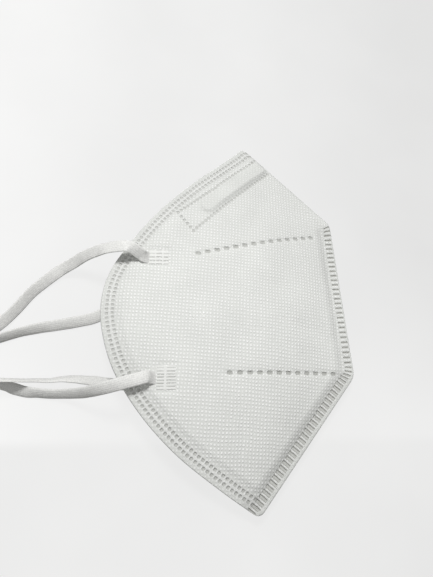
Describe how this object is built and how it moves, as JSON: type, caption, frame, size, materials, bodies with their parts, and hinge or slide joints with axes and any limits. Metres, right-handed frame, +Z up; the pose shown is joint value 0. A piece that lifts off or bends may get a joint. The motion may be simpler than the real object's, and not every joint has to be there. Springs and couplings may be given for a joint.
{
  "type": "folding respirator mask",
  "caption": "Flat-folding face mask of welded non-woven cloth with a nose clip and elastic ear loops, lying on its side.",
  "frame": {"origin": "on the surface that the mask lies on, under the middle of the panels' box", "axes": "+X towards the front seams, +Y towards the nose, +Z up from the surface, out of the right panel"},
  "size_m": [0.1709, 0.1591, 0.0209],
  "materials": {
    "panel_cloth": "matt embossed spun-bonded non-woven, warm grey-white",
    "elastic_band": "matt knitted elastic, light grey",
    "pressed_cloth": "matt cloth pressed flat by ultrasonic welding, in short bars",
    "clip_metal": "plain soft aluminium strip, hidden between the layers of cloth"
  },
  "bodies": {
    "root": {"right_panel": "panel_cloth", "left_panel": "panel_cloth", "nose_clip": "clip_metal", "right_ear_loop": "elastic_band", "left_ear_loop": "elastic_band", "right_upper_loop_weld": "pressed_cloth", "right_lower_loop_weld": "pressed_cloth", "left_upper_loop_weld": "pressed_cloth", "left_lower_loop_weld": "pressed_cloth"}
  },
  "joints": []
}
